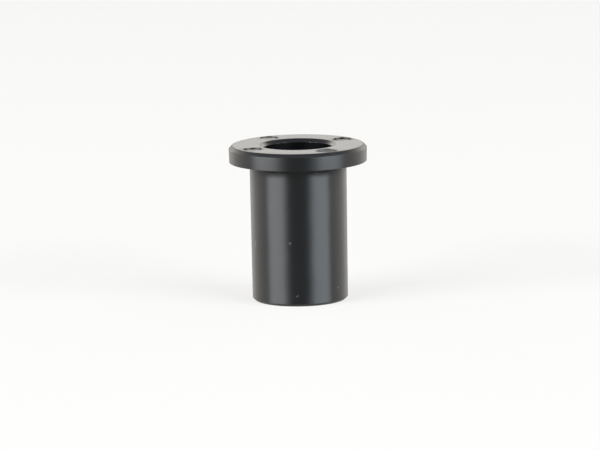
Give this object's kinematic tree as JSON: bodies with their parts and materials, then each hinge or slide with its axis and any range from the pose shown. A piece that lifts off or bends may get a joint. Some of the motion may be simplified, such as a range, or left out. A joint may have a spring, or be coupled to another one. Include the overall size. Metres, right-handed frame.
{
  "type": "flanged bushing",
  "caption": "Black moulded plastic bushing: a round barrel with a plain through bore and a flange at one end, for a shaft or pin to turn in.",
  "frame": {"origin": "centre of the barrel's free end face, on the surface that the bushing stands on", "axes": "+Z along the axis of the bore, from the barrel's free end to the flange"},
  "size_m": [0.0158, 0.0158, 0.0178],
  "materials": {
    "black_acetal": "satin, as moulded"
  },
  "bodies": {
    "root": {"flanged_bushing": "black_acetal"}
  },
  "joints": []
}
